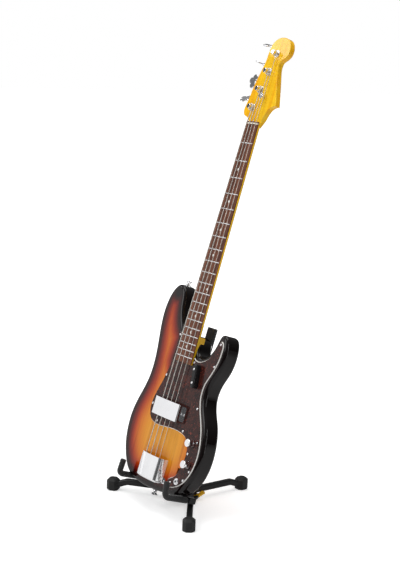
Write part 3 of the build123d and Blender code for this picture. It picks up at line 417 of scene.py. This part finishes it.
def soft_piece(node, body, look, voxel):
    """A foam or rubber form: the CAD solid remeshed and eased."""
    piece = copy_of(node, f"{node}_soft")
    remesh = piece.modifiers.new("remesh", "REMESH")
    remesh.mode = "VOXEL"
    remesh.voxel_size = voxel
    ease = piece.modifiers.new("ease", "SMOOTH")
    ease.iterations = 6
    ease.factor = 0.5
    applied(piece)
    piece.data.materials.clear()
    piece.data.materials.append(look)
    piece.data.shade_smooth()
    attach(piece, body)
    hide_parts(node)


def soft_pieces(looks):
    for side in ("left", "right"):
        soft_piece(f"yoke_foam_{side}", f"{side}_yoke", looks["foam"], 0.0012)
    soft_piece("backrest_pad", "backrest", looks["foam"], 0.0016)


# ---------------------------------------------------------------- stage, light and camera
def stage_plane(name, size, place, look):
    mesh = bpy.data.meshes.new(name)
    half = size / 2
    corners = [(-half, -half, 0), (half, -half, 0), (half, half, 0), (-half, half, 0)]
    mesh.from_pydata(corners, [], [(0, 1, 2, 3)])
    plane = bpy.data.objects.new(name, mesh)
    bpy.context.scene.collection.objects.link(plane)
    plane.location = place
    mesh.materials.append(look)
    return plane


def softbox(name, place, aim, size, power):
    light = bpy.data.lights.new(name, "AREA")
    light.shape = "RECTANGLE"
    light.size, light.size_y = size
    light.energy = power
    lamp = bpy.data.objects.new(name, light)
    bpy.context.scene.collection.objects.link(lamp)
    lamp.location = place
    lamp.rotation_euler = (Vector(aim) - Vector(place)).to_track_quat("-Z", "Y").to_euler()
    return lamp


def surround():
    """White to the camera, and for reflections a softer room that is darker low down."""
    world = bpy.data.worlds.new("studio")
    bpy.context.scene.world = world
    world.use_nodes = True
    tree = world.node_tree
    room = tree.nodes["Background"]
    white = tree.nodes.new("ShaderNodeBackground")
    white.inputs["Color"].default_value = (1, 1, 1, 1)
    coords = tree.nodes.new("ShaderNodeTexCoord")
    parts = tree.nodes.new("ShaderNodeSeparateXYZ")
    height = tree.nodes.new("ShaderNodeValToRGB")
    band = height.color_ramp.elements
    band[0].position, band[1].position = 0.0, 1.0
    band[0].color, band[1].color = (*[ROOM_LOW] * 3, 1), (*[ROOM_HIGH] * 3, 1)
    path = tree.nodes.new("ShaderNodeLightPath")
    mix = tree.nodes.new("ShaderNodeMixShader")
    tree.links.new(coords.outputs["Generated"], parts.inputs["Vector"])
    tree.links.new(parts.outputs["Z"], height.inputs["Fac"])
    tree.links.new(height.outputs["Color"], room.inputs["Color"])
    tree.links.new(path.outputs["Is Camera Ray"], mix.inputs["Fac"])
    tree.links.new(room.outputs["Background"], mix.inputs[1])
    tree.links.new(white.outputs["Background"], mix.inputs[2])
    tree.links.new(mix.outputs["Shader"], tree.nodes["World Output"].inputs["Surface"])


def studio():
    """Pale floor that glows only for the camera, and soft lights: key, side strip, top and card."""
    floor = Paint("studio floor", (0.9, 0.9, 0.9), Roughness=0.9, Emission_Color=(1, 1, 1, 1))
    floor.color(floor.ramp(floor.noise(2, 2), [(0.3, (0.89, 0.89, 0.89)), (0.7, (0.91, 0.91, 0.91))]))
    coords = floor.node("ShaderNodeTexCoord")
    away = floor.node("ShaderNodeVectorMath", operation="LENGTH")
    floor.link(coords.outputs["Object"], away.inputs[0])
    glow = floor.greys(away.outputs["Value"], FLOOR_GLOW, FAR_GLOW, 0.4, 2.5)
    seen = floor.node("ShaderNodeMath", operation="MULTIPLY")
    floor.link(glow, seen.inputs[0])
    floor.link(floor.node("ShaderNodeLightPath").outputs["Is Camera Ray"], seen.inputs[1])
    floor.link(seen.outputs[0], floor.shader.inputs["Emission Strength"])
    stage_plane("floor", FLOOR_SIZE, (0, 0, 0), floor.material)
    surround()
    for name, place, aim, size, power in LIGHTS:
        softbox(name, place, aim, size, power)


def camera():
    """Same side view as the real object was seen in, slightly rolled."""
    right = Vector((math.cos(AZIMUTH), math.sin(AZIMUTH), 0))
    level = math.cos(ELEVATION)
    back = Vector((math.sin(AZIMUTH) * level, -math.cos(AZIMUTH) * level, math.sin(ELEVATION)))
    up = back.cross(right)
    image_x = right * math.cos(ROLL) + up * math.sin(ROLL)
    image_y = up * math.cos(ROLL) - right * math.sin(ROLL)
    low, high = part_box("hub_cap")
    hub = Vector(((low.x + high.x) / 2, high.y - HUB_BACK, 0))
    lens = bpy.data.cameras.new("camera")
    lens.sensor_fit = "VERTICAL"
    lens.sensor_height = 36
    lens.lens = LENS
    lens.clip_end = 50
    eye = bpy.data.objects.new("camera", lens)
    bpy.context.scene.collection.objects.link(eye)
    place = hub + right * AIM_ACROSS + Vector((0, 0, AIM_HEIGHT)) + back * DISTANCE
    turn = Matrix((image_x, image_y, back)).transposed()
    eye.matrix_world = Matrix.Translation(place) @ turn.to_4x4()
    bpy.context.scene.camera = eye


looks = paint_nodes()
body_piece(looks["sunburst"])
soft_pieces(looks)
studio()
camera()
bpy.context.scene.view_settings.view_transform = "Standard"
